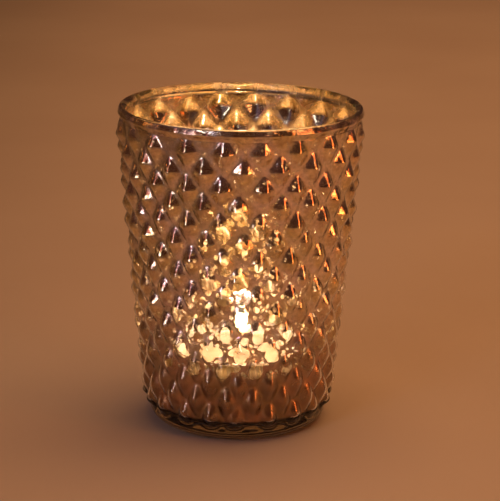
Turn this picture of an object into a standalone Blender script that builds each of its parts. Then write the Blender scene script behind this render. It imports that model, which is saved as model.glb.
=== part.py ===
"""Hobnail tealight holder, standing on its base with its own tealight inside.

A tapered glass tumbler, silvered on its inside, carries staggered rows of raised diamond hobs on its
outside. A tealight stands loose on the floor: an aluminium cup, a pressed wax puck, and a cotton
wick held in a crimped steel sustainer. Metres, +Z up, origin at the middle of the base.
"""

import math

import bpy

MM = 0.001
GAP = 0.3 * MM  # free space kept between neighbouring solids

# Glass tumbler
HEIGHT = 87.0 * MM
RIM_RADIUS = 33.0 * MM
RIM_THICKNESS = 2.3 * MM
WALL_THICKNESS = 2.0 * MM
FLOOR_THICKNESS = 4.2 * MM
HEEL_RADIUS = 3.6 * MM
INNER_HEEL_RADIUS = 2.4 * MM
FOOT_RING_WIDTH = 2.6 * MM
PUNT_DEPTH = 1.2 * MM

# Hobs: staggered rows, each row turned half a pitch from the next
HOBS_PER_ROW = 20
HOB_ROWS = 16
ROW_PITCH = 4.92 * MM
TOP_ROW_Z = 80.0 * MM
HOB_HEIGHT = 1.9 * MM
HOB_SHOULDER = 0.58  # share of its height that a hob keeps half way down its side
TIP_RADIUS_TOP = 33.7 * MM  # to the hobs' tips, at the top row
TIP_RADIUS_BOTTOM = 26.5 * MM  # and at the bottom row

# Tealight
CUP_RADIUS = 19.0 * MM
CUP_HEIGHT = 16.0 * MM
CUP_WALL = 0.3 * MM
CUP_BEAD = 0.45 * MM
CUP_STEP_RADIUS = 9.0 * MM  # raised middle of the cup's floor, which centres the sustainer
CUP_STEP = 0.6 * MM
WAX_HEIGHT = 12.2 * MM
WAX_EDGE = 0.8 * MM
POOL_RADIUS = 15.5 * MM
POOL_DEPTH = 0.9 * MM
WICK_RADIUS = 0.75 * MM
WICK_ABOVE_WAX = 6.4 * MM
WICK_LEAN = 1.7 * MM  # how far the burnt end leans over
SUSTAINER_RADIUS = 6.5 * MM
SUSTAINER_PLATE = 0.3 * MM
SUSTAINER_NECK_HEIGHT = 4.2 * MM
SUSTAINER_NECK_WALL = 0.3 * MM

WALL_STEPS = 4 * HOBS_PER_ROW
ROUND_STEPS = 48
SMALL_STEPS = 24
MERGE = 0.00001

# Heights of the stack on the glass floor
BOTTOM_ROW_Z = TOP_ROW_Z - (HOB_ROWS - 1) * ROW_PITCH
CUP_FLOOR_Z = FLOOR_THICKNESS + GAP
CUP_TOP_Z = CUP_FLOOR_Z + CUP_HEIGHT
STEP_TOP_Z = CUP_FLOOR_Z + CUP_STEP + CUP_WALL
SUSTAINER_Z = STEP_TOP_Z + GAP
NECK_TOP_Z = SUSTAINER_Z + SUSTAINER_PLATE + SUSTAINER_NECK_HEIGHT
WAX_FLOOR_Z = CUP_FLOOR_Z + CUP_WALL + GAP
WAX_TOP_Z = WAX_FLOOR_Z + WAX_HEIGHT


def clear_scene():
    for item in list(bpy.data.objects):
        bpy.data.objects.remove(item)


def make_material(name, colour, roughness, metallic=0.0, transmission=0.0):
    material = bpy.data.materials.new(name)
    material.use_nodes = True
    shader = material.node_tree.nodes["Principled BSDF"]
    shader.inputs["Base Color"].default_value = (*colour, 1.0)
    shader.inputs["Roughness"].default_value = roughness
    shader.inputs["Metallic"].default_value = metallic
    shader.inputs["Transmission Weight"].default_value = transmission
    return material


def arc(centre_x, centre_z, radius, start_deg, end_deg, steps):
    """Points (x, z) on an arc, both ends included."""
    points = []
    for i in range(steps + 1):
        angle = math.radians(start_deg + (end_deg - start_deg) * i / steps)
        points.append((centre_x + radius * math.cos(angle), centre_z + radius * math.sin(angle)))
    return points


def finish(item, material, collection, smooth_deg=35.0):
    item.data.materials.append(material)
    if item.type == "MESH":
        item.data.shade_smooth()
        item.data.set_sharp_from_angle(angle=math.radians(smooth_deg))
    collection.objects.link(item)
    return item


def turned(name, profile, steps, closed):
    """A solid of revolution about Z. The profile runs down its outer side and back up its inner side."""
    mesh = bpy.data.meshes.new(name)
    edges = [(i, i + 1) for i in range(len(profile) - 1)]
    if closed:
        edges.append((len(profile) - 1, 0))
    mesh.from_pydata([(x, 0.0, z) for x, z in profile], edges, [])
    item = bpy.data.objects.new(name, mesh)
    screw = item.modifiers.new("Turn", "SCREW")
    screw.axis = "Z"
    screw.angle = math.tau
    screw.steps = steps
    screw.render_steps = steps
    screw.use_merge_vertices = True
    screw.merge_threshold = MERGE
    return item


def as_mesh(item):
    """The evaluated object as a plain mesh object of the same name."""
    holder = bpy.context.scene.collection
    holder.objects.link(item)
    graph = bpy.context.evaluated_depsgraph_get()
    mesh = bpy.data.meshes.new_from_object(item.evaluated_get(graph))
    name = item.name
    bpy.data.objects.remove(item)
    mesh.name = name
    return bpy.data.objects.new(name, mesh)


def tip_radius(z):
    """Radius of the cone through the hobs' tips."""
    share = (z - BOTTOM_ROW_Z) / (TOP_ROW_Z - BOTTOM_ROW_Z)
    return TIP_RADIUS_BOTTOM + (TIP_RADIUS_TOP - TIP_RADIUS_BOTTOM) * share


def valley_radius(z):
    """Radius of the plain cone that the hobs stand on."""
    return tip_radius(z) - HOB_HEIGHT


def inner_radius(z):
    return valley_radius(z) - WALL_THICKNESS


def hob_relief(angle, z):
    """Height of the hob pattern above the plain cone, at one of the wall's grid points."""
    row = (TOP_ROW_Z - z) / ROW_PITCH
    best = 0.0
    for k in range(HOB_ROWS):
        turn = angle / math.tau * HOBS_PER_ROW - (0.5 if k % 2 == 0 else 0.0)
        across = 2.0 * abs(turn - round(turn))
        best = max(best, shoulder_curve(across + abs(row - k)))
    return HOB_HEIGHT * best


def shoulder_curve(distance):
    """1 at a hob's tip, HOB_SHOULDER half way down its side, 0 at the edge of its diamond."""
    if distance >= 1.0:
        return 0.0
    if distance > 0.5:
        return HOB_SHOULDER * (1.0 - distance) / 0.5
    return HOB_SHOULDER + (1.0 - HOB_SHOULDER) * (0.5 - distance) / 0.5


def build_glass(material, collection):
    """The tumbler: rim bead, hobnail wall, rounded heel, foot ring, punt and smooth inner wall."""
    bead = RIM_THICKNESS / 2
    bead_x = RIM_RADIUS - bead
    bead_z = HEIGHT - bead
    levels = [TOP_ROW_Z + ROW_PITCH * (1 - i / 2) for i in range(2 * HOB_ROWS + 1)]
    heel_x = valley_radius(HEEL_RADIUS) - HEEL_RADIUS
    ring_x = heel_x - FOOT_RING_WIDTH
    inner_x = inner_radius(FLOOR_THICKNESS + INNER_HEEL_RADIUS) - INNER_HEEL_RADIUS

    profile = arc(bead_x, bead_z, bead, 90.0, -20.0, 5)
    profile += [(valley_radius(z), z) for z in levels]
    profile += arc(heel_x, HEEL_RADIUS, HEEL_RADIUS, 0.0, -90.0, 4)
    profile += [(ring_x, 0.0), (ring_x - 1.0 * MM, 0.5 * MM), (ring_x * 0.55, PUNT_DEPTH * 0.8)]
    profile += [(0.0, PUNT_DEPTH), (0.0, FLOOR_THICKNESS)]
    profile += arc(inner_x, FLOOR_THICKNESS + INNER_HEEL_RADIUS, INNER_HEEL_RADIUS, -90.0, 0.0, 4)
    profile += [(inner_radius(z), z) for z in (30.0 * MM, 56.0 * MM, HEIGHT - 3.0 * MM)]
    profile += arc(bead_x, bead_z, bead, 180.0, 120.0, 3)

    glass = as_mesh(turned("glass_tumbler", profile, WALL_STEPS, closed=True))
    for vertex in glass.data.vertices:
        x, y, z = vertex.co
        radius = math.hypot(x, y)
        outside = radius > valley_radius(z) - WALL_THICKNESS / 2
        if not outside or z > bead_z or z < BOTTOM_ROW_Z - ROW_PITCH / 4:
            continue
        raised = radius + hob_relief(math.atan2(y, x), z)
        vertex.co = (x * raised / radius, y * raised / radius, z)
    split = glass.modifiers.new("Diamond facets", "TRIANGULATE")
    split.quad_method = "SHORTEST_DIAGONAL"
    return finish(glass, material, collection, smooth_deg=75.0)


def build_tealight_cup(material, collection):
    """The drawn aluminium cup: raised middle to its floor, straight wall and a curled bead."""
    outer = CUP_RADIUS
    inner = CUP_RADIUS - CUP_WALL
    corner = 1.0 * MM
    bead_z = CUP_TOP_Z - CUP_BEAD
    step = CUP_STEP_RADIUS
    profile = arc(outer - CUP_WALL / 2 + CUP_BEAD / 2, bead_z, CUP_BEAD, 90.0, -90.0, 4)
    profile += [(outer, bead_z - CUP_BEAD)]
    profile += arc(outer - corner, CUP_FLOOR_Z + corner, corner, 0.0, -90.0, 3)
    profile += [(step, CUP_FLOOR_Z), (step - 0.7 * MM, CUP_FLOOR_Z + CUP_STEP)]
    profile += [(0.0, CUP_FLOOR_Z + CUP_STEP), (0.0, STEP_TOP_Z)]
    profile += [(step - 0.7 * MM, STEP_TOP_Z), (step, CUP_FLOOR_Z + CUP_WALL)]
    profile += arc(outer - corner, CUP_FLOOR_Z + corner, corner - CUP_WALL, -90.0, 0.0, 3)
    profile += [(inner, CUP_TOP_Z - CUP_BEAD)]
    return finish(turned("tealight_cup", profile, ROUND_STEPS, closed=True), material, collection)


def build_wax(material, collection):
    """The pressed wax puck: dished on top by the melt pool, bored for the wick and its sustainer."""
    outer = CUP_RADIUS - CUP_WALL - GAP
    bore = WICK_RADIUS + GAP
    neck_bore = WICK_RADIUS + 2 * GAP + SUSTAINER_NECK_WALL
    neck_top = NECK_TOP_Z + GAP
    plate_top = SUSTAINER_Z + SUSTAINER_PLATE + GAP
    step_clear = CUP_STEP_RADIUS + 2 * GAP
    profile = [(outer - WAX_EDGE, WAX_TOP_Z), (outer, WAX_TOP_Z - WAX_EDGE)]
    profile += [(outer, WAX_FLOOR_Z + 1.2 * MM), (outer - 1.2 * MM, WAX_FLOOR_Z)]
    profile += [(step_clear, WAX_FLOOR_Z), (step_clear, plate_top)]
    profile += [(neck_bore, plate_top), (neck_bore, neck_top), (bore, neck_top)]
    profile += [(bore, WAX_TOP_Z - POOL_DEPTH), (POOL_RADIUS * 0.8, WAX_TOP_Z - POOL_DEPTH)]
    profile += [(POOL_RADIUS, WAX_TOP_Z - POOL_DEPTH / 3), (POOL_RADIUS + 1.0 * MM, WAX_TOP_Z)]
    return finish(turned("wax_puck", profile, ROUND_STEPS, closed=True), material, collection)


def build_sustainer(material, collection):
    """The steel sustainer: a round plate with a neck that grips the wick."""
    neck_inner = WICK_RADIUS + GAP
    neck_outer = neck_inner + SUSTAINER_NECK_WALL
    plate_top = SUSTAINER_Z + SUSTAINER_PLATE
    profile = [(neck_outer, NECK_TOP_Z), (neck_outer, plate_top), (SUSTAINER_RADIUS, plate_top)]
    profile += [(SUSTAINER_RADIUS, SUSTAINER_Z), (neck_inner, SUSTAINER_Z), (neck_inner, NECK_TOP_Z)]
    return finish(turned("wick_sustainer", profile, SMALL_STEPS, closed=True), material, collection)


def build_wick(material, collection):
    """The cotton wick: upright through the puck, its burnt end leaning over."""
    foot_z = SUSTAINER_Z
    straight_z = WAX_TOP_Z + 1.0 * MM
    tip_z = WAX_TOP_Z + WICK_ABOVE_WAX
    bend_steps = 8
    points = [(0.0, 0.0, foot_z), (0.0, 0.0, straight_z)]
    for i in range(1, bend_steps + 1):
        share = i / bend_steps
        points.append((WICK_LEAN * share**2, 0.0, straight_z + (tip_z - straight_z) * share))
    curve = bpy.data.curves.new("wick", "CURVE")
    curve.dimensions = "3D"
    curve.bevel_depth = WICK_RADIUS
    curve.bevel_resolution = 2
    curve.use_fill_caps = True
    spline = curve.splines.new("POLY")
    spline.points.add(len(points) - 1)
    for place, point in zip(spline.points, points):
        place.co = (*point, 1.0)
    return finish(bpy.data.objects.new("wick", curve), material, collection)


def main():
    clear_scene()
    collection = bpy.data.collections.new("tealight_holder")
    bpy.context.scene.collection.children.link(collection)

    glass = make_material("silvered_glass", (0.80, 0.70, 0.56), 0.08, metallic=0.9)
    aluminium = make_material("drawn_aluminium", (0.88, 0.88, 0.89), 0.28, metallic=1.0)
    wax = make_material("paraffin_wax", (0.95, 0.90, 0.78), 0.40)
    steel = make_material("tinned_steel", (0.70, 0.70, 0.70), 0.30, metallic=1.0)
    cotton = make_material("charred_cotton", (0.10, 0.08, 0.06), 0.90)

    build_glass(glass, collection)
    build_tealight_cup(aluminium, collection)
    build_wax(wax, collection)
    build_sustainer(steel, collection)
    build_wick(cotton, collection)


main()
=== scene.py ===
"""Looks of a lit hobnail tealight holder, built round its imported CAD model.

A mould-blown glass tumbler with staggered hobs outside and dimples behind them, a worn champagne
mirror film on its inner wall, and a burning tealight. Metres, +Z up, -Y towards the camera.
"""

import math

import bpy
import numpy as np
from mathutils import Matrix, Vector


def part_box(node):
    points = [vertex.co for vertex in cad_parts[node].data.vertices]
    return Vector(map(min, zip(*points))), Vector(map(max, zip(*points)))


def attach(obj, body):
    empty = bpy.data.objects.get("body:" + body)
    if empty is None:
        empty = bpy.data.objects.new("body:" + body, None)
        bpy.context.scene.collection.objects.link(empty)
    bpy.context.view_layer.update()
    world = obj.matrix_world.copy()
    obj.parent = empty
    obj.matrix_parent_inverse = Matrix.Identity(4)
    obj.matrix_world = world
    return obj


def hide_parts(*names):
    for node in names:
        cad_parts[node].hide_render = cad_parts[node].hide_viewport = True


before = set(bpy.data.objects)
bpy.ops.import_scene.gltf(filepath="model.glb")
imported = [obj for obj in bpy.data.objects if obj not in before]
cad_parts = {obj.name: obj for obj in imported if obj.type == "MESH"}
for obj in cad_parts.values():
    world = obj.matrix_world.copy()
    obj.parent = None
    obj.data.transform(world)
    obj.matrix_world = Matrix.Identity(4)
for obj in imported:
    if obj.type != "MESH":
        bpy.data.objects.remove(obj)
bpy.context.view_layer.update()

MM = 0.001

# The tumbler, with its sizes in CAD
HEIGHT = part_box("glass_tumbler")[1].z
RIM_RADIUS = 33.0 * MM
FLOOR_THICKNESS = 4.2 * MM
HEEL_RADIUS = 3.6 * MM
INNER_HEEL_RADIUS = 2.4 * MM
FOOT_RING_WIDTH = 2.6 * MM
PUNT_DEPTH = 1.2 * MM
HOBS_PER_ROW = 20
HOB_ROWS = 16
ROW_PITCH = 4.92 * MM
TOP_ROW_Z = 80.0 * MM
HOB_HEIGHT = 1.9 * MM
TIP_RADIUS_TOP = 33.7 * MM
TIP_RADIUS_BOTTOM = 26.5 * MM
BOTTOM_ROW_Z = TOP_ROW_Z - (HOB_ROWS - 1) * ROW_PITCH

# What differs from CAD: a wall so thin that it bends few reflections, sharper hobs and deeper valleys
WALL_TOP, WALL_BOTTOM = 0.10 * MM, 0.30 * MM
HOB_EXTRA = 0.10 * MM
VALLEY_SINK = 0.15 * MM
NECK_FLARE = 0.75 * MM  # the plain band above the hobs widens into the rim
NECK_START, NECK_SPAN = 0.963 * HEIGHT, 0.02 * HEIGHT
HOB_FADE = 3.0 * MM  # height over which the hobs set in above the heel

# Shape of a hob inside its diamond cell, as shares of the cell's half width and half height
HOB_HALF_WIDTH = 0.68
HOB_LENGTH_TOP, HOB_LENGTH_BOTTOM = 0.98, 1.0
HOB_FOOT = 0.06  # how softly a hob's flank runs out into the wall
HOB_ROUNDING_TOP, HOB_ROUNDING_BOTTOM = 0.07, 0.26
DIAMOND_TOP, DIAMOND_BOTTOM = 1.08, 1.8  # superellipse power: pointed diamonds on top, ovals below
DIMPLE_TOP, DIMPLE_BOTTOM = 1.0, 0.92  # how much of a hob's height shows as a dimple inside

# Unevenness of the glass
HOB_JITTER = 0.06  # of a cell
HOB_HEIGHT_JITTER = 0.10
WAVINESS = 0.16 * MM

# Rim section from its outside over the top, as arcs of a radius up to a turn in degrees
RIM_ARCS = ((0.7 * MM, 12.0), (8.0 * MM, 20.0), (0.75 * MM, 90.0), (1.25 * MM, 175.0))

# Silvering
FILM_GAP = 0.02 * MM
FILM_TOP_TURN = 50.0  # how far over the rim the film reaches, in degrees from its outside
CELL_HALF_WIDTH, CELL_HALF_HEIGHT = 4.8, 4.9  # of a hob's cell half way up, in mm
TONGUES = 3.0  # worn stretches round the wall, one of them towards the camera
TONGUE_NARROWING = 2.8
WEAR_REACH = 1.60
WEAR_RAGGEDNESS = 2.6
WEAR_FOOT = 0.205, 0.24  # where the wear sets in, as a share of the height: the cup's rim hides what is below
LARGEST_OPENING = 2.3  # mm, over a hob
LARGE_PEBBLES, SMALL_PEBBLES = 250, 520  # cells to the metre

# Tealight, from its CAD boxes
CUP_LOW, CUP_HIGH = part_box("tealight_cup")
WAX_LOW, WAX_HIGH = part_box("wax_puck")
WICK_LOW, WICK_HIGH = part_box("wick")
SUSTAINER_LOW, SUSTAINER_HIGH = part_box("wick_sustainer")
CUP_RADIUS = 19.0 * MM
CUP_WALL = 0.3 * MM
CUP_CORNER = 1.2 * MM
CUP_CURL = 0.48 * MM
FLUTES, FLUTE_DEPTH = 64, 0.05 * MM
MELT_DEPTH = 0.9 * MM
WICK_BORE = 1.05 * MM  # through the wax and the sustainer
WICK_RADIUS = 0.75 * MM  # in CAD
BRAID_RADIUS = 0.72 * MM
SUSTAINER_SHEET = 0.3 * MM
CRIMPS, CRIMP_DEPTH = 4, 0.12 * MM

# Flame
FLAME_HEIGHT = 13.0 * MM
FLAME_RADIUS = 2.3 * MM
FLAME_OVERLAP = 2.6 * MM  # how far down the wick it starts
FLAME_STRENGTH = 6.0
FLAME_POWER = 0.064
FLAME_LIGHT_COLOUR = (1.0, 0.65, 0.42)
FLAME_LIGHT_RADIUS = 2.5 * MM
FLAME_LIGHT_RISE = 9.0 * MM  # over the wick's end

# Fineness of the meshes
SEGMENTS = 14 * HOBS_PER_ROW
LEVELS_PER_ROW = 9
CUP_SEGMENTS = 256
WAX_SEGMENTS = 160
SUSTAINER_SEGMENTS = 72
WICK_RINGS, WICK_SEGMENTS = 90, 24
FLAME_RINGS, FLAME_SEGMENTS = 36, 40

# Camera
CAMERA_DISTANCE = 505 * MM
CAMERA_ELEVATION = 16.27
CAMERA_AZIMUTH = -1.4  # seen from a little left of the hobs' plane of symmetry
CAMERA_ROLL = 0.8
CAMERA_LENS = 132.9
CAMERA_SENSOR = 36.0
CAMERA_NEAREST = 0.01
CAMERA_AIM_SIDE = 2.95 * MM
CAMERA_AIM_HEIGHT = 46.6 * MM

# Floor, just under the holder
FLOOR_SIZE = 6.0
FLOOR_DROP = 0.05 * MM

# Area lights: name, azimuth and elevation in degrees, distance, width and height in metres, watts, colour.
# The lowest ones draw the points and lines on the hobs, and the two glints lie on the rim.
AREA_LIGHTS = (
    ("overhead", 125, 74, 1.2, 1.2, 1.2, 7.3, (1.0, 0.50, 0.20)),
    ("cool_room", -70, 42, 1.2, 0.9, 0.7, 0.22, (0.50, 0.46, 0.95)),
    ("cool_window", -48, 5, 0.9, 0.20, 0.07, 0.30, (0.88, 0.86, 0.92)),
    ("cool_glint", -36, 27, 0.9, 0.20, 0.05, 0.34, (0.84, 0.84, 0.95)),
    ("cool_strip", -48, 17, 0.89, 0.02, 0.28, 0.026, (1.0, 0.60, 0.55)),
    ("cool_wings", -48, 10, 0.92, 0.18, 0.32, 0.14, (0.95, 0.26, 0.30)),
    ("warm_lamp", 62, 5, 0.9, 0.24, 0.07, 0.27, (1.0, 0.42, 0.13)),
    ("warm_glint", 54, 27, 0.9, 0.22, 0.05, 0.32, (1.0, 0.40, 0.15)),
    ("warm_strip", 62, 17, 0.89, 0.02, 0.26, 0.035, (1.0, 0.50, 0.18)),
    ("warm_shade", 62, 11, 0.92, 0.24, 0.28, 0.55, (1.0, 0.17, 0.03)),
    ("far_lamp", -97, 18, 0.9, 0.05, 0.16, 0.10, (1.0, 0.36, 0.08)),
)

# Colour of the dim room, from level with the floor to straight up
ROOM_COLOURS = (
    (0.0, (0.30, 0.130, 0.052)),
    (0.005, (0.15, 0.065, 0.028)),
    (0.03, (0.075, 0.029, 0.019)),
    (1.0, (0.05, 0.020, 0.015)),
)

rng = np.random.default_rng(11)
SHIFT_ACROSS = rng.normal(0.0, HOB_JITTER, (HOB_ROWS, HOBS_PER_ROW))
SHIFT_UP = rng.normal(0.0, HOB_JITTER, (HOB_ROWS, HOBS_PER_ROW))
SIZE = 1.0 - np.abs(rng.normal(0.0, HOB_HEIGHT_JITTER, (HOB_ROWS, HOBS_PER_ROW)))


# ---------------------------------------------------------------- geometry

def between(bottom, top, z):
    """A value that changes evenly from the bottom row of hobs to the top one."""
    return bottom + (top - bottom) * (z - BOTTOM_ROW_Z) / (TOP_ROW_Z - BOTTOM_ROW_Z)


def valley_radius(z):
    return between(TIP_RADIUS_BOTTOM, TIP_RADIUS_TOP, z) - HOB_HEIGHT


def outer_radius(z):
    """The outside between hobs, which widens into the bead at its top."""
    sink = VALLEY_SINK * smooth((z - HEEL_RADIUS) / (2.0 * MM))
    flare = (NECK_FLARE + VALLEY_SINK) * smooth((z - NECK_START) / NECK_SPAN)
    return valley_radius(z) - sink + flare


def inner_radius(z):
    return outer_radius(z) - between(WALL_BOTTOM, WALL_TOP, z)


def smooth(x):
    x = np.clip(x, 0.0, 1.0)
    return x * x * (3.0 - 2.0 * x)


def nearest_hob(theta, z):
    """Distance from each point to its hob's middle, 0 there and 1 at the hob's foot, and the hob's size."""
    row = (TOP_ROW_Z - z) / ROW_PITCH
    distance = np.full(np.shape(theta), 9.0)
    size = np.ones(np.shape(theta))
    for k in range(HOB_ROWS):
        turn = theta / math.tau * HOBS_PER_ROW - (0.5 if k % 2 == 0 else 0.0)
        index = np.round(turn).astype(int) % HOBS_PER_ROW
        across = np.abs(turn - np.round(turn) + SHIFT_ACROSS[k, index]) * 2.0 / HOB_HALF_WIDTH
        length = HOB_LENGTH_TOP + (HOB_LENGTH_BOTTOM - HOB_LENGTH_TOP) * k / (HOB_ROWS - 1)
        up = np.abs(row - k + SHIFT_UP[k, index]) / length
        power = DIAMOND_TOP + (DIAMOND_BOTTOM - DIAMOND_TOP) * k / (HOB_ROWS - 1)
        here = (across**power + up**power) ** (1.0 / power)
        closer = here < distance
        distance = np.where(closer, here, distance)
        size = np.where(closer, SIZE[k, index], size)
    return distance, size


def hob_relief(theta, z, start=HEEL_RADIUS):
    """Points with a rounded tip and even flanks, which fade in above a starting height."""
    distance, size = nearest_hob(theta, z)
    rounding = between(HOB_ROUNDING_BOTTOM, HOB_ROUNDING_TOP, z)
    rounded = np.sqrt(distance**2 + rounding**2) - rounding
    full = math.sqrt(1.0 + rounding**2) - rounding
    fade = smooth((z - start) / HOB_FADE)
    height = HOB_HEIGHT + HOB_EXTRA + VALLEY_SINK
    flank = 1.0 - rounded / full
    return height * size * fade * 0.5 * (flank + np.sqrt(flank**2 + HOB_FOOT**2))


def dimple_relief(theta, z):
    return hob_relief(theta, z, FLOOR_THICKNESS) * between(DIMPLE_BOTTOM, DIMPLE_TOP, z)


def waviness(theta, z):
    """Slow unevenness of blown glass."""
    up = z / HEIGHT
    return WAVINESS * smooth((z - HEEL_RADIUS) / (6.0 * MM)) * (
        np.sin(2 * theta + 5 * up) * 0.5 + np.sin(3 * theta - 7 * up + 1.0) * 0.3
        + np.sin(5 * theta + 13 * up + 2.0) * 0.2
    )


def arc(centre_x, centre_z, radius, start_deg, end_deg, steps):
    """Points of an arc in a profile, with its angles in degrees from outwards towards up."""
    angles = np.radians(np.linspace(start_deg, end_deg, steps + 1))
    return [(centre_x + radius * math.cos(a), centre_z + radius * math.sin(a)) for a in angles]


def put(name, data):
    item = bpy.data.objects.new(name, data)
    bpy.context.scene.collection.objects.link(item)
    return item


def smooth_mesh(name, points, faces):
    mesh = bpy.data.meshes.new(name)
    mesh.from_pydata(points, [], faces)
    mesh.shade_smooth()
    mesh.update()
    return put(name, mesh)


def lathe(name, profile, segments, relief=None):
    """A turned mesh. The profile runs from below, up the outside, and down the inside.

    relief(theta, radius, z, index) moves a ring's points outwards. A point on the axis closes the mesh.
    """
    theta = np.arange(segments) * math.tau / segments
    points, rings = [], []
    for index, (radius, z) in enumerate(profile):
        if radius < 1e-7:
            rings.append([len(points)] * segments)
            points.append((0.0, 0.0, z))
            continue
        out = np.full(segments, radius)
        if relief is not None:
            out = out + relief(theta, radius, z, index)
        rings.append(list(range(len(points), len(points) + segments)))
        points.extend(zip(out * np.cos(theta), out * np.sin(theta), np.full(segments, z)))
    faces = []
    for low, high in zip(rings[:-1], rings[1:]):
        for j in range(segments):
            n = (j + 1) % segments
            loop = [low[j], low[n], high[n], high[j]]
            face = [v for i, v in enumerate(loop) if v != loop[i - 1]]
            if len(face) > 2:
                faces.append(face)
    return smooth_mesh(name, points, faces)


def rim_profile(arcs, depth=0.0):
    """The rim's section, at a depth below its surface, from its outside over the top."""
    rise, turn = 0.0, 0.0
    for radius, end in RIM_ARCS[:3]:
        rise += radius * (math.sin(math.radians(end)) - math.sin(math.radians(turn)))
        turn = end
    x, z, turn = RIM_RADIUS, HEIGHT - rise, 0.0
    section = []
    for radius, end in arcs:
        centre_x = x - radius * math.cos(math.radians(turn))
        centre_z = z - radius * math.sin(math.radians(turn))
        section += arc(centre_x, centre_z, radius - depth, turn, end, 6)[1 if section else 0:]
        x = centre_x + radius * math.cos(math.radians(end))
        z = centre_z + radius * math.sin(math.radians(end))
        turn = end
    return section


def wall_levels(low, high):
    """Heights of the wall's rings, the same for its inside and outside."""
    step = ROW_PITCH / LEVELS_PER_ROW
    return np.arange(math.ceil(low / step) * step, high, step)


def inner_profile(inset=0.0):
    """Inside of the tumbler: its wall from under the rim down, and its corner and floor to the middle."""
    corner_z = FLOOR_THICKNESS + INNER_HEEL_RADIUS
    corner_x = inner_radius(corner_z) - INNER_HEEL_RADIUS
    levels = wall_levels(corner_z, HEIGHT - 3.0 * MM)[::-1]
    wall = list(zip(inner_radius(levels) - inset, levels))
    corner = arc(corner_x, corner_z, INNER_HEEL_RADIUS - inset, 0.0, -90.0, 8)
    floor = [(corner_x * share, FLOOR_THICKNESS + inset) for share in (0.8, 0.55, 0.3, 0.0)]
    return wall, corner + floor


def build_glass():
    heel_x = valley_radius(HEEL_RADIUS) - HEEL_RADIUS
    ring_x = heel_x - FOOT_RING_WIDTH
    foot = [(0.0, PUNT_DEPTH), (ring_x * 0.3, PUNT_DEPTH * 0.95), (ring_x * 0.6, PUNT_DEPTH * 0.75)]
    foot += [(ring_x - 1.5 * MM, PUNT_DEPTH * 0.35), (ring_x - 0.5 * MM, 0.1 * MM), (ring_x, 0.0)]
    foot += [(heel_x - 0.8 * MM, 0.0)]
    heel = arc(heel_x, HEEL_RADIUS, HEEL_RADIUS, -90.0, 0.0, 10)
    rim = rim_profile(RIM_ARCS)
    levels = wall_levels(HEEL_RADIUS + 0.3 * MM, rim[0][1] - 0.1 * MM)
    outside = list(zip(outer_radius(levels), levels))
    wall, floor = inner_profile()
    (neck_x, neck_z), (wall_x, wall_z) = rim[-1], wall[0]
    neck = [(neck_x * (1 - s) + wall_x * s, neck_z * (1 - s) + wall_z * s) for s in (0.25, 0.6)]
    profile = foot + heel + outside + rim + neck + wall + floor
    first_wall = len(foot + heel)
    last_wall = first_wall + len(outside)
    first_inner = last_wall + len(rim)

    def relief(theta, radius, z, index):
        if first_wall <= index < last_wall:
            return hob_relief(theta, z) + waviness(theta, z)
        if index >= first_inner:
            return dimple_relief(theta, z) + waviness(theta, z)
        return waviness(theta, z)

    return lathe("hobnail_tumbler", profile, SEGMENTS, relief)


def build_film():
    """The mirror film, a sheet just inside the thin wall, which runs on inside the bead to the lip."""
    wall, floor = inner_profile(FILM_GAP)
    lip = rim_profile(RIM_ARCS[:2] + ((RIM_ARCS[2][0], FILM_TOP_TURN),), WALL_TOP + FILM_GAP)[::-1]
    levels = wall_levels(wall[0][1] + 0.1 * MM, lip[-1][1] - 0.1 * MM)[::-1]
    above = list(zip(inner_radius(levels) - FILM_GAP, levels))

    def relief(theta, radius, z, index):
        dimples = dimple_relief(theta, z) if index >= len(lip) else 0.0
        return dimples + waviness(theta, z)

    film = lathe("silvering", lip + above + wall + floor, SEGMENTS, relief)
    film.data.flip_normals()  # its front is the side towards the outside of the glass
    return film


def build_cup():
    """The drawn aluminium cup, with fine flutes near its curled bead."""
    outer, wall, corner, curl = CUP_RADIUS, CUP_WALL, CUP_CORNER, CUP_CURL
    low, high = CUP_LOW.z, CUP_HIGH.z
    curl_x = CUP_HIGH.x - curl
    base = [(0.0, low + 0.6 * MM), (7.8 * MM, low + 0.6 * MM), (8.4 * MM, low + 0.45 * MM)]
    base += [(8.9 * MM, low + 0.08 * MM), (9.4 * MM, low), (outer - 2.0 * MM, low)]
    side = arc(outer - corner, low + corner, corner, -90.0, 0.0, 8)
    side += [(outer, z) for z in np.linspace(low + 2.0 * MM, high - 1.4 * MM, 14)]
    bead = arc(curl_x, high - curl, curl, -60.0, 180.0, 14)
    inside = [(outer - wall, z) for z in np.linspace(high - 1.2 * MM, low + 2.0 * MM, 10)]
    inside += arc(outer - corner, low + corner, corner - wall, 0.0, -90.0, 6)
    inside += [(9.4 * MM, low + wall), (8.4 * MM, low + 0.75 * MM), (7.8 * MM, low + 0.9 * MM)]
    inside += [(0.0, low + 0.9 * MM)]

    def relief(theta, radius, z, index):
        if radius < outer - 0.6 * MM:
            return 0.0 * theta
        strength = float(smooth((z - low) / (10 * MM))) * float(smooth((high - 0.8 * MM - z) / (2 * MM)))
        return FLUTE_DEPTH * strength * np.sin(FLUTES * theta)

    return lathe("drawn_cup", base + side + bead + inside, CUP_SEGMENTS, relief)


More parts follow.
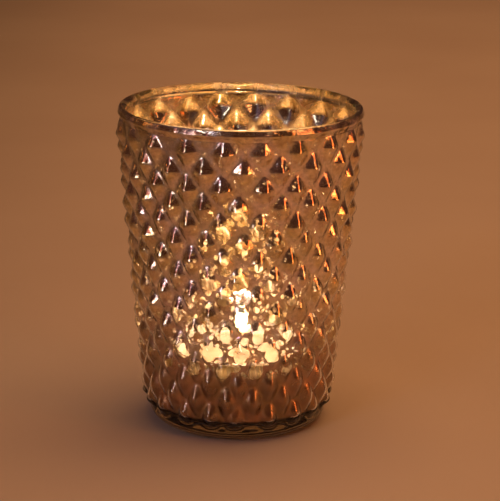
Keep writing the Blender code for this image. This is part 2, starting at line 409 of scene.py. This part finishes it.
def build_wax():
    """The wax, molten round the wick: a shallow pool inside a soft unmelted rim."""
    outer = WAX_HIGH.x - 0.05 * MM
    low, high = WAX_LOW.z, WAX_HIGH.z
    bore, neck_bore = WICK_BORE, 1.7 * MM
    plate_top = SUSTAINER_LOW.z + 0.6 * MM
    neck_top = SUSTAINER_HIGH.z + 0.3 * MM
    pool = high - MELT_DEPTH
    profile = [(bore, neck_top), (neck_bore, neck_top), (neck_bore, plate_top), (9.6 * MM, plate_top)]
    profile += [(9.6 * MM, low), (outer - 1.2 * MM, low), (outer - 0.3 * MM, low + 0.4 * MM)]
    profile += [(outer, low + 1.2 * MM), (outer, high - 1.2 * MM), (outer - 0.15 * MM, high - 0.5 * MM)]
    profile += [(outer - 0.5 * MM, high - 0.12 * MM), (outer - 1.0 * MM, high), (outer - 1.8 * MM, high)]
    profile += [(16.0 * MM, high - 0.08 * MM), (15.4 * MM, high - 0.35 * MM), (14.8 * MM, pool + 0.12 * MM)]
    profile += [(14.0 * MM, pool), (10.0 * MM, pool - 0.02 * MM), (5.0 * MM, pool), (2.6 * MM, pool)]
    profile += [(1.6 * MM, pool + 0.08 * MM), (1.2 * MM, pool + 0.3 * MM), (bore, pool + 0.45 * MM)]
    profile += [(bore, neck_top)]

    def relief(theta, radius, z, index):
        inside, outside = smooth((radius - 13.0 * MM) / (2.0 * MM)), smooth((17.5 * MM - radius) / (1.0 * MM))
        edge = float(inside) * float(outside)
        wobble = np.sin(3 * theta + 0.7) * 0.5 + np.sin(7 * theta + 2.0) * 0.3 + np.sin(2 * theta) * 0.4
        return 0.45 * MM * edge * wobble

    return lathe("wax_pool", profile, WAX_SEGMENTS, relief)


def wick_path(share):
    """The wick's centre line: upright through the wax, its end leaning over."""
    low, high = WICK_LOW.z, WICK_HIGH.z
    bend_z = WAX_HIGH.z + 1.0 * MM
    z = low + (high - WICK_RADIUS - low) * share
    lean = max(0.0, (z - bend_z) / (high - bend_z))
    return Vector(((WICK_HIGH.x - 1.3 * WICK_RADIUS) * lean**2, 0.0, z))


def build_wick():
    """The braid: a tube whose strands cross, rounded off at its burnt end."""
    rings, segments = WICK_RINGS, WICK_SEGMENTS
    points, faces = [], []
    for i in range(rings + 1):
        share = i / rings
        centre = wick_path(share)
        ahead = (wick_path(min(1.0, share + 0.01)) - wick_path(max(0.0, share - 0.01))).normalized()
        side = Vector((0, 1, 0))
        across = side.cross(ahead).normalized()
        for j in range(segments):
            a = math.tau * j / segments
            strand = abs(math.sin(1.5 * a + 34 * share)) * 0.5 + abs(math.sin(1.5 * a - 34 * share)) * 0.5
            end = math.sqrt(max(0.02, 1 - max(0.0, (share - 0.96) / 0.04) ** 2))
            out = BRAID_RADIUS * (0.82 + 0.26 * strand) * end
            points.append(centre + across * (out * math.cos(a)) + side * (out * math.sin(a)))
    for i in range(rings):
        for j in range(segments):
            n = (j + 1) % segments
            low, high = i * segments, (i + 1) * segments
            faces.append([low + j, high + j, high + n, low + n])
    faces.append(list(range(segments)))
    faces.append([rings * segments + j for j in reversed(range(segments))])
    return smooth_mesh("braided_wick", points, faces)


def build_sustainer():
    """The pressed steel disc with its neck, crimped on four sides."""
    low, high = SUSTAINER_LOW.z, SUSTAINER_HIGH.z
    plate = SUSTAINER_SHEET
    rim = SUSTAINER_HIGH.x
    profile = [(WICK_BORE, low), (1.6 * MM, low), (rim * 0.6, low), (rim - 0.1 * MM, low)]
    profile += [(rim, low + 0.1 * MM), (rim, low + 0.2 * MM), (rim - 0.1 * MM, low + plate)]
    profile += [(rim * 0.6, low + plate), (2.0 * MM, low + plate), (1.5 * MM, low + plate + 0.2 * MM)]
    profile += [(1.35 * MM, z) for z in np.linspace(low + 0.9 * MM, high - 0.2 * MM, 8)]
    profile += [(1.3 * MM, high), (1.08 * MM, high)]
    profile += [(WICK_BORE, z) for z in np.linspace(high - 0.2 * MM, low, 8)]

    def relief(theta, radius, z, index):
        if z < low + 1.0 * MM or radius < 1.2 * MM:
            return 0.0 * theta
        pinch = float(smooth((z - low - 1.0 * MM) / (1.2 * MM)))
        return -CRIMP_DEPTH * pinch * (0.5 + 0.5 * np.cos(CRIMPS * theta))

    return lathe("crimped_sustainer", profile, SUSTAINER_SEGMENTS, relief)


def build_flame():
    """A still flame standing on the wick, a drawn-up drop."""
    foot = WICK_HIGH.z - FLAME_OVERLAP
    profile = []
    for s in np.linspace(0.0, 1.0, FLAME_RINGS):
        radius = FLAME_RADIUS * (math.sin(math.pi * s**0.62) ** 0.9) * (1 - 0.35 * s)
        profile.append((max(radius, 0.0), foot + FLAME_HEIGHT * s))
    profile[0] = (0.0, foot)
    profile[-1] = (0.0, foot + FLAME_HEIGHT)
    flame = lathe("flame", profile, FLAME_SEGMENTS)
    lean = WICK_HIGH.x * 0.6
    for vertex in flame.data.vertices:
        share = (vertex.co.z - foot) / FLAME_HEIGHT
        vertex.co.x += lean * min(1.0, share * 3.0) * (1.0 - 0.3 * share)
    return flame


# ---------------------------------------------------------------- materials

SOCKETS = {
    "colour": "Base Color", "roughness": "Roughness", "metallic": "Metallic", "ior": "IOR",
    "transmission": "Transmission Weight", "alpha": "Alpha", "coat": "Coat Weight",
    "coat_roughness": "Coat Roughness", "subsurface": "Subsurface Weight",
    "subsurface_scale": "Subsurface Scale", "emission": "Emission Color",
    "emission_strength": "Emission Strength", "specular": "Specular IOR Level",
}


def fill_ramp(ramp, stops):
    """Set a colour ramp from pairs of a position and a grey value or colour."""
    while len(ramp.elements) < len(stops):
        ramp.elements.new(0.5)
    for element, (position, colour) in zip(ramp.elements, stops):
        element.position = position
        value = colour if isinstance(colour, tuple) else (colour, colour, colour)
        element.color = (*value, 1.0)


class Nodes:
    """Short names for making and joining shader nodes.

    A value that goes into a node is a number, a colour or another node's output.
    """

    def __init__(self, name):
        self.material = bpy.data.materials.new(name)
        self.material.use_nodes = True
        self.tree = self.material.node_tree
        self.shader = self.tree.nodes["Principled BSDF"]
        self.out = self.tree.nodes["Material Output"]
        self.place = self.add("ShaderNodeTexCoord").outputs["Object"]

    def add(self, kind, **values):
        node = self.tree.nodes.new(kind)
        for key, value in values.items():
            setattr(node, key, value)
        return node

    def link(self, source, target):
        self.tree.links.new(source, target)

    def feed(self, socket, value):
        if isinstance(value, tuple):
            socket.default_value = (*value, 1.0)
        elif isinstance(value, (int, float)):
            socket.default_value = value
        else:
            self.link(value, socket)

    def axes(self):
        """Outputs X, Y and Z of the place on the object."""
        node = self.add("ShaderNodeSeparateXYZ")
        self.link(self.place, node.inputs["Vector"])
        return [node.outputs[axis] for axis in "XYZ"]

    def scaled(self, x, y, z):
        node = self.add("ShaderNodeMapping")
        node.inputs["Scale"].default_value = (x, y, z)
        self.link(self.place, node.inputs["Vector"])
        return node.outputs["Vector"]

    def noise(self, scale, detail=3.0, place=None):
        node = self.add("ShaderNodeTexNoise")
        node.inputs["Scale"].default_value = scale
        node.inputs["Detail"].default_value = detail
        self.link(place or self.place, node.inputs["Vector"])
        return node.outputs["Fac"]

    def voronoi(self, scale, feature, place=None, output="Distance"):
        node = self.add("ShaderNodeTexVoronoi", feature=feature)
        node.inputs["Scale"].default_value = scale
        self.link(place or self.place, node.inputs["Vector"])
        return node.outputs[output]

    def math(self, operation, a, b=None, clamp=False):
        node = self.add("ShaderNodeMath", operation=operation, use_clamp=clamp)
        for socket, value in zip(node.inputs, (a, b)):
            if value is not None:
                self.feed(socket, value)
        return node.outputs["Value"]

    def total(self, *values):
        result = values[0]
        for value in values[1:]:
            result = self.math("ADD", result, value)
        return result

    def product(self, a, b):
        return self.math("MULTIPLY", a, b)

    def centred(self, value, amount):
        """A value of 0 to 1 as a change of up to half an amount either way."""
        return self.product(self.math("SUBTRACT", value, 0.5), amount)

    def ramp(self, factor, stops, smooth_steps=False):
        node = self.add("ShaderNodeValToRGB")
        node.color_ramp.interpolation = "EASE" if smooth_steps else "LINEAR"
        fill_ramp(node.color_ramp, stops)
        self.link(factor, node.inputs["Fac"])
        return node.outputs["Color"]

    def mix(self, factor, a, b, blend="MIX"):
        node = self.add("ShaderNodeMix", data_type="RGBA", blend_type=blend)
        for index, value in ((0, factor), (6, a), (7, b)):
            self.feed(node.inputs[index], value)
        return node.outputs[2]

    def bump(self, height, strength, distance):
        node = self.add("ShaderNodeBump")
        node.inputs["Strength"].default_value = strength
        node.inputs["Distance"].default_value = distance
        self.link(height, node.inputs["Height"])
        self.link(node.outputs["Normal"], self.shader.inputs["Normal"])

    def set(self, **values):
        for key, value in values.items():
            self.feed(self.shader.inputs[SOCKETS[key]], value)


def glass_material():
    """Clear glass, whose volume tints the thick heel and bead olive."""
    n = Nodes("greenish_blown_glass")
    n.set(colour=(0.99, 0.99, 0.985), roughness=0.0, transmission=1.0, ior=1.5)
    body = n.add("ShaderNodeVolumeAbsorption")
    body.inputs["Color"].default_value = (0.58, 0.52, 0.30, 1.0)
    body.inputs["Density"].default_value = 50.0
    n.link(body.outputs["Volume"], n.out.inputs["Volume"])
    n.bump(n.noise(160, detail=2.0), 0.25, 0.3 * MM)
    return n.material


def hob_distance(n, turn, z):
    """Distance in mm from a point on the wall to the nearest hob's middle, and a chance value for that hob.

    In the slanting coordinates along = turn + row / 2 and against = turn - row / 2, every hob sits in the
    middle of a unit square.
    """
    turns = n.product(turn, HOBS_PER_ROW / math.tau)
    half_row = n.product(n.math("SUBTRACT", TOP_ROW_Z, z), 0.5 / ROW_PITCH)
    slanting = n.total(turns, half_row), n.math("SUBTRACT", turns, half_row)
    along, against = (n.math("SUBTRACT", n.math("FRACT", value), 0.5) for value in slanting)
    aside = n.product(n.total(along, against), CELL_HALF_WIDTH)
    above = n.product(n.math("SUBTRACT", along, against), CELL_HALF_HEIGHT)
    square = n.total(n.product(aside, aside), n.product(above, above))
    cell = n.add("ShaderNodeCombineXYZ")
    for socket, value in zip(cell.inputs, slanting):
        n.link(n.math("FLOOR", value), socket)
    chance = n.add("ShaderNodeTexWhiteNoise", noise_dimensions="3D")
    n.link(cell.outputs["Vector"], chance.inputs["Vector"])
    return n.math("SQRT", square), chance.outputs["Value"]


def worn_share(n, place):
    """How open the film is, worn off over hobs and in pebbles, in tongues that narrow upwards.

    Returns that share, the height from 0 to 1, and a net that is 0 on the hobs and 1 between them.
    """
    x, y, z = n.axes()
    up = n.math("DIVIDE", z, HEIGHT)
    turn = n.math("ARCTAN2", x, n.product(y, -1.0))
    tongue = n.math("COSINE", n.product(turn, TONGUES))
    reach = n.math("SUBTRACT", tongue, n.product(up, TONGUE_NARROWING))
    reach = n.total(reach, WEAR_REACH, n.centred(n.noise(70, detail=2.0), WEAR_RAGGEDNESS))
    foot = n.ramp(up, [(WEAR_FOOT[0], 0.0), (WEAR_FOOT[1], 1.0)])

    distance, chance = hob_distance(n, turn, z)
    wobble = n.centred(n.noise(420, detail=2.0), 2.6)
    size = n.total(n.product(reach, 0.9), n.math("SUBTRACT", chance, 0.62))
    radius = n.product(n.math("MINIMUM", size, 1.0), LARGEST_OPENING)
    hob = n.ramp(n.math("SUBTRACT", radius, n.total(distance, wobble)), [(0.0, 0.0), (0.15, 1.0)])

    pick = n.add("ShaderNodeSeparateColor")
    n.link(n.voronoi(SMALL_PEBBLES, "F1", place, "Color"), pick.inputs["Color"])
    chosen = n.math("GREATER_THAN", pick.outputs["Red"], 0.45)
    small = n.product(n.ramp(n.voronoi(SMALL_PEBBLES, "F1", place), [(0.30, 1.0), (0.38, 0.0)]), chosen)
    small = n.product(small, n.ramp(reach, [(0.25, 0.0), (0.45, 1.0)]))
    large = n.ramp(n.voronoi(LARGE_PEBBLES, "F1", place), [(0.32, 1.0), (0.37, 0.0)])
    large = n.product(large, n.ramp(reach, [(0.50, 0.0), (0.70, 1.0)]))

    specks = n.ramp(n.noise(750), [(0.57, 0.0), (0.64, 1.0)])
    specks = n.product(specks, n.ramp(reach, [(0.0, 0.28), (0.25, 0.9)]))
    thin = n.ramp(reach, [(0.2, 0.0), (0.8, 0.05)])
    share = hob
    for part in (small, large, specks, thin):
        share = n.math("MAXIMUM", share, part)
    net = n.ramp(n.math("DIVIDE", distance, 6.0), [(0.34, 0.0), (0.56, 1.0)])
    return n.product(share, foot), up, net


def warped_place(n):
    """The place on the object, pushed about a little so that pebbles aren't round."""
    warp = n.noise(230, detail=2.0)
    push = n.add("ShaderNodeCombineXYZ")
    for socket in push.inputs:
        n.link(n.math("SUBTRACT", warp, 0.5), socket)
    offset = n.add("ShaderNodeVectorMath", operation="SCALE")
    n.link(push.outputs["Vector"], offset.inputs[0])
    offset.inputs["Scale"].default_value = 1.8 * MM
    moved = n.add("ShaderNodeVectorMath", operation="ADD")
    n.link(n.place, moved.inputs[0])
    n.link(offset.outputs["Vector"], moved.inputs[1])
    return moved.outputs["Vector"]


def film_colour(n, net, amber, tone):
    """Mottled champagne, with painted gold reflection on the hobs and painted light on the net between them,
    and coppery near the foot, with painted shade on the hobs there.
    """
    hobs = n.math("SUBTRACT", 1.0, net)
    champagne = n.ramp(tone, [(0.40, (0.78, 0.72, 0.38)), (0.48, (0.96, 0.85, 0.64)),
                              (0.58, (1.0, 0.86, 0.88))])
    stain = n.ramp(n.noise(380, detail=4.0), [(0.50, 0.0), (0.68, 0.6)])
    champagne = n.mix(stain, champagne, (0.50, 0.30, 0.13))
    # Painted reflection: a golder tint, partly lighter and partly darker, over the hobs.
    painted_hob_gold = n.ramp(n.noise(260), [(0.42, (0.98, 0.80, 0.42)), (0.60, (0.74, 0.55, 0.34))])
    champagne = n.mix(n.product(hobs, 0.65), champagne, painted_hob_gold)
    # Painted light: the net between the hobs is made paler.
    champagne = n.mix(n.product(net, 0.5), champagne, (1.0, 0.88, 0.84))
    grain = n.ramp(n.noise(1000, detail=2.0), [(0.38, (0.80, 0.77, 0.74)), (0.58, (1.0, 1.0, 1.0))])
    champagne = n.mix(0.8, champagne, grain, "MULTIPLY")
    copper = n.ramp(n.noise(150), [(0.38, (0.42, 0.27, 0.12)), (0.60, (0.62, 0.33, 0.17))])
    # Painted shade: near the foot the hobs are darkened.
    copper = n.mix(n.product(hobs, 0.6), copper, (0.26, 0.15, 0.08))
    return n.mix(amber, champagne, copper)


def film_material():
    """A mirror laid on by hand: mottled, worn through in spots, and plainer and duller on its inner side."""
    n = Nodes("worn_champagne_silvering")
    share, up, net = worn_share(n, warped_place(n))
    tone = n.noise(90, detail=4.0)
    low = n.total(up, n.product(n.noise(70), 0.18))
    amber = n.ramp(low, [(0.24, 1.0), (0.58, 0.0)], smooth_steps=True)
    inner_side = n.add("ShaderNodeNewGeometry").outputs["Backfacing"]
    inside = n.ramp(tone, [(0.38, (0.72, 0.60, 0.35)), (0.62, (0.84, 0.73, 0.56))])
    rough = n.ramp(n.noise(300), [(0.3, 0.03), (0.7, 0.12)])
    rough = n.total(rough, n.product(amber, 0.22), n.product(net, 0.12), n.product(inner_side, 0.08))
    n.set(colour=n.mix(inner_side, film_colour(n, net, amber, tone), inside), metallic=1.0, roughness=rough,
          alpha=n.math("SUBTRACT", 1.0, n.product(share, 0.95)))
    dents = n.total(n.noise(560, detail=4.0), n.product(n.noise(170, detail=1.0), 2.0))
    n.bump(dents, 0.85, 0.16 * MM)
    return n.material


def aluminium_material():
    n = Nodes("drawn_aluminium")
    lines = n.noise(900, detail=3.0, place=n.scaled(1.0, 1.0, 0.04))
    n.set(colour=n.ramp(lines, [(0.3, (0.80, 0.80, 0.81)), (0.7, (0.92, 0.92, 0.93))]),
          metallic=1.0, roughness=n.ramp(lines, [(0.3, 0.18), (0.7, 0.34)]))
    n.bump(lines, 0.25, 0.05 * MM)
    return n.material


def wax_material():
    """Clear molten wax, darker than the ivory rim that hasn't melted."""
    n = Nodes("ivory_paraffin")
    cloud = n.noise(120)
    x, y = n.axes()[:2]
    reach = n.math("DIVIDE", n.math("SQRT", n.total(n.product(x, x), n.product(y, y))), WAX_HIGH.x)
    reach = n.total(reach, n.centred(cloud, 0.10))
    pool = n.ramp(reach, [(0.76, 1.0), (0.86, 0.0)])
    ivory = n.ramp(cloud, [(0.3, (0.84, 0.74, 0.58)), (0.7, (0.90, 0.82, 0.68))])
    molten = n.ramp(cloud, [(0.3, (0.36, 0.29, 0.19)), (0.7, (0.48, 0.39, 0.28))])
    n.set(colour=n.mix(pool, ivory, molten), roughness=n.ramp(pool, [(0.2, 0.32), (0.8, 0.06)]),
          subsurface=0.25, subsurface_scale=2.0 * MM, coat=0.3, coat_roughness=0.08, ior=1.44)
    n.shader.inputs["Subsurface Radius"].default_value = (1.0, 0.7, 0.4)
    n.bump(n.noise(260, detail=2.0), 0.15, 0.2 * MM)
    return n.material


def wick_material():
    """Cotton, waxed below, charred above and glowing at its end."""
    n = Nodes("charred_cotton")
    z = n.axes()[2]
    up = n.math("DIVIDE", n.math("SUBTRACT", z, WAX_HIGH.z), WICK_HIGH.z - WAX_HIGH.z)
    up = n.math("ADD", up, n.centred(n.noise(1500), 0.3), clamp=True)
    char = n.ramp(up, [(0.05, (0.72, 0.62, 0.45)), (0.3, (0.12, 0.07, 0.04)), (0.6, (0.02, 0.015, 0.012))])
    glow = n.ramp(up, [(0.80, (0.0, 0.0, 0.0)), (0.97, (1.0, 0.22, 0.03))])
    n.set(colour=char, roughness=0.85, emission=glow, emission_strength=2.5)
    n.bump(n.noise(2600, detail=2.0), 0.5, 0.1 * MM)
    return n.material


def steel_material():
    n = Nodes("tinned_steel")
    scuffs = n.noise(700, detail=4.0)
    n.set(colour=n.ramp(scuffs, [(0.3, (0.52, 0.51, 0.50)), (0.7, (0.68, 0.67, 0.65))]), metallic=1.0,
          roughness=n.ramp(scuffs, [(0.3, 0.25), (0.7, 0.45)]))
    n.bump(scuffs, 0.2, 0.05 * MM)
    return n.material


def flame_material(low, high):
    """Blue at its foot, cream in the middle and orange at its tip."""
    n = Nodes("candle_flame")
    z = n.axes()[2]
    up = n.math("DIVIDE", n.math("SUBTRACT", z, low), high - low, clamp=True)
    colour = n.ramp(up, [(0.0, (0.06, 0.08, 0.30)), (0.14, (0.55, 0.22, 0.06)), (0.32, (1.0, 0.70, 0.34)),
                         (0.65, (1.0, 0.76, 0.42)), (1.0, (1.0, 0.45, 0.12))])
    n.set(colour=(0.0, 0.0, 0.0), roughness=1.0, specular=0.0,
          emission=colour, emission_strength=FLAME_STRENGTH)
    return n.material


def floor_material():
    """A plain pale table with painted shade that darkens it towards the left."""
    n = Nodes("pale_table")
    pale = n.ramp(n.noise(6), [(0.35, (0.74, 0.59, 0.46)), (0.65, (0.80, 0.65, 0.51))])
    x = n.axes()[0]
    across = n.math("ADD", n.product(x, 2.0), 0.5, clamp=True)
    # Painted shade, growing towards the left.
    shade = n.ramp(across, [(0.0, (0.46, 0.48, 0.46)), (0.52, (1.0, 1.0, 1.0))], smooth_steps=True)
    n.set(colour=n.mix(1.0, pale, shade, "MULTIPLY"), roughness=0.75)
    n.bump(n.noise(900, detail=2.0), 0.1, 0.1 * MM)
    return n.material


# ---------------------------------------------------------------- scene

def dress(item, material, body, node=None):
    """Give a piece its material and the body it rides on, and hide the CAD node it stands for."""
    item.data.materials.clear()
    item.data.materials.append(material)
    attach(item, body)
    if node:
        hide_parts(node)


def build_object():
    dress(build_glass(), glass_material(), "holder", "glass_tumbler")
    dress(build_film(), film_material(), "holder")
    dress(build_cup(), aluminium_material(), "tealight", "tealight_cup")
    dress(build_wax(), wax_material(), "tealight", "wax_puck")
    dress(build_wick(), wick_material(), "tealight", "wick")
    dress(build_sustainer(), steel_material(), "tealight", "wick_sustainer")
    flame = build_flame()
    flame.visible_shadow = False
    heights = [v.co.z for v in flame.data.vertices]
    dress(flame, flame_material(min(heights), max(heights)), "tealight")
    light_flame(flame)


def build_floor():
    bpy.ops.mesh.primitive_plane_add(size=FLOOR_SIZE, location=(0.0, 0.0, -FLOOR_DROP))
    floor = bpy.context.object
    floor.name = "floor"
    floor.data.materials.append(floor_material())


def direction(azimuth_deg, elevation_deg):
    """Unit vector towards an azimuth (0 is the camera's side, positive to its right) and elevation."""
    a, e = math.radians(azimuth_deg), math.radians(elevation_deg)
    return Vector((math.sin(a) * math.cos(e), -math.cos(a) * math.cos(e), math.sin(e)))


def area_light(name, azimuth, elevation, distance, width, height, power, colour):
    """A rectangular light that faces the middle of the holder."""
    data = bpy.data.lights.new(name, "AREA")
    data.shape = "RECTANGLE"
    data.size, data.size_y = width, height
    data.energy = power
    data.color = colour
    light = put(name, data)
    aim = Vector((0.0, 0.0, HEIGHT / 2))
    light.location = aim + direction(azimuth, elevation) * distance
    light.rotation_euler = (aim - light.location).to_track_quat("-Z", "Y").to_euler()


def build_world():
    """A dim warm room, a little brighter along the horizon."""
    world = bpy.data.worlds.new("dim_room")
    bpy.context.scene.world = world
    world.use_nodes = True
    tree = world.node_tree
    place = tree.nodes.new("ShaderNodeTexCoord")
    split = tree.nodes.new("ShaderNodeSeparateXYZ")
    ramp = tree.nodes.new("ShaderNodeValToRGB")
    background = tree.nodes["Background"]
    fill_ramp(ramp.color_ramp, ROOM_COLOURS)
    tree.links.new(place.outputs["Generated"], split.inputs["Vector"])
    tree.links.new(split.outputs["Z"], ramp.inputs["Fac"])
    tree.links.new(ramp.outputs["Color"], background.inputs["Color"])
    background.inputs["Strength"].default_value = 1.0


def light_flame(flame):
    """The flame's own light, which goes wherever the flame goes."""
    data = bpy.data.lights.new("flame_glow", "POINT")
    data.energy = FLAME_POWER
    data.shadow_soft_size = FLAME_LIGHT_RADIUS
    data.color = FLAME_LIGHT_COLOUR
    glow = put("flame_glow", data)
    glow.location = (WICK_HIGH.x * 0.5, 0.0, WICK_HIGH.z + FLAME_LIGHT_RISE)
    glow.parent = flame


def build_camera():
    data = bpy.data.cameras.new("camera")
    data.lens = CAMERA_LENS
    data.sensor_width = CAMERA_SENSOR
    data.clip_start = CAMERA_NEAREST
    camera = put("camera", data)
    middle = Vector((0, 0, HEIGHT / 2))
    camera.location = direction(CAMERA_AZIMUTH, CAMERA_ELEVATION) * CAMERA_DISTANCE + middle
    side = Vector((math.cos(math.radians(CAMERA_AZIMUTH)), math.sin(math.radians(CAMERA_AZIMUTH)), 0.0))
    aim = side * CAMERA_AIM_SIDE + Vector((0, 0, CAMERA_AIM_HEIGHT))
    look = (aim - camera.location).to_track_quat("-Z", "Y").to_matrix().to_4x4()
    turned = look @ Matrix.Rotation(math.radians(CAMERA_ROLL), 4, "Z")
    camera.rotation_euler = turned.to_euler()
    bpy.context.scene.camera = camera


build_object()
build_floor()
build_world()
for light_values in AREA_LIGHTS:
    area_light(*light_values)
build_camera()
bpy.context.scene.view_settings.view_transform = "Standard"
